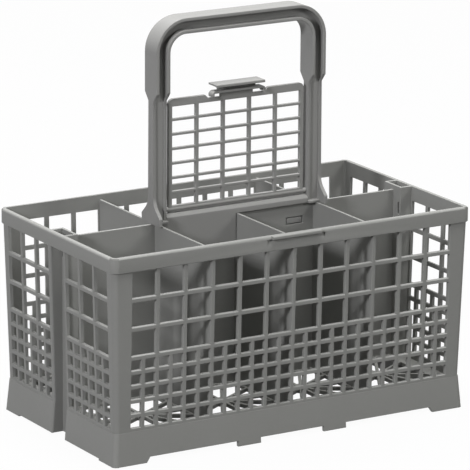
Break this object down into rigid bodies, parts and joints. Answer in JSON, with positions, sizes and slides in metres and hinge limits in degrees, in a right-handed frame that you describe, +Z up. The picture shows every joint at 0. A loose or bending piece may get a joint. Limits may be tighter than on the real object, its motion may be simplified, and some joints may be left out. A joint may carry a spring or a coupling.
{
  "type": "cutlery basket",
  "caption": "Rectangular lattice cutlery basket for a dishwasher, with a carrying handle, divided compartments, a star-grid floor and a hinged grille lid that latches on the front rim.",
  "frame": {"origin": "on the ground under the middle of the basket", "axes": "X along the basket, -Y out of the front with the catch, +Z up"},
  "size_m": [0.243, 0.1386, 0.243],
  "materials": {
    "grey_plastic": "fine-grained satin moulding"
  },
  "bodies": {
    "basket": {"basket": "grey_plastic", "handle": "grey_plastic"},
    "lid": {"lid": "grey_plastic"}
  },
  "joints": [
    {"name": "lid_hinge", "type": "hinge", "parent": "basket", "child": "lid", "pos_m": [0, 0, 0.12835], "axis": [1, 0, 0], "range_deg": [0, 90]}
  ]
}
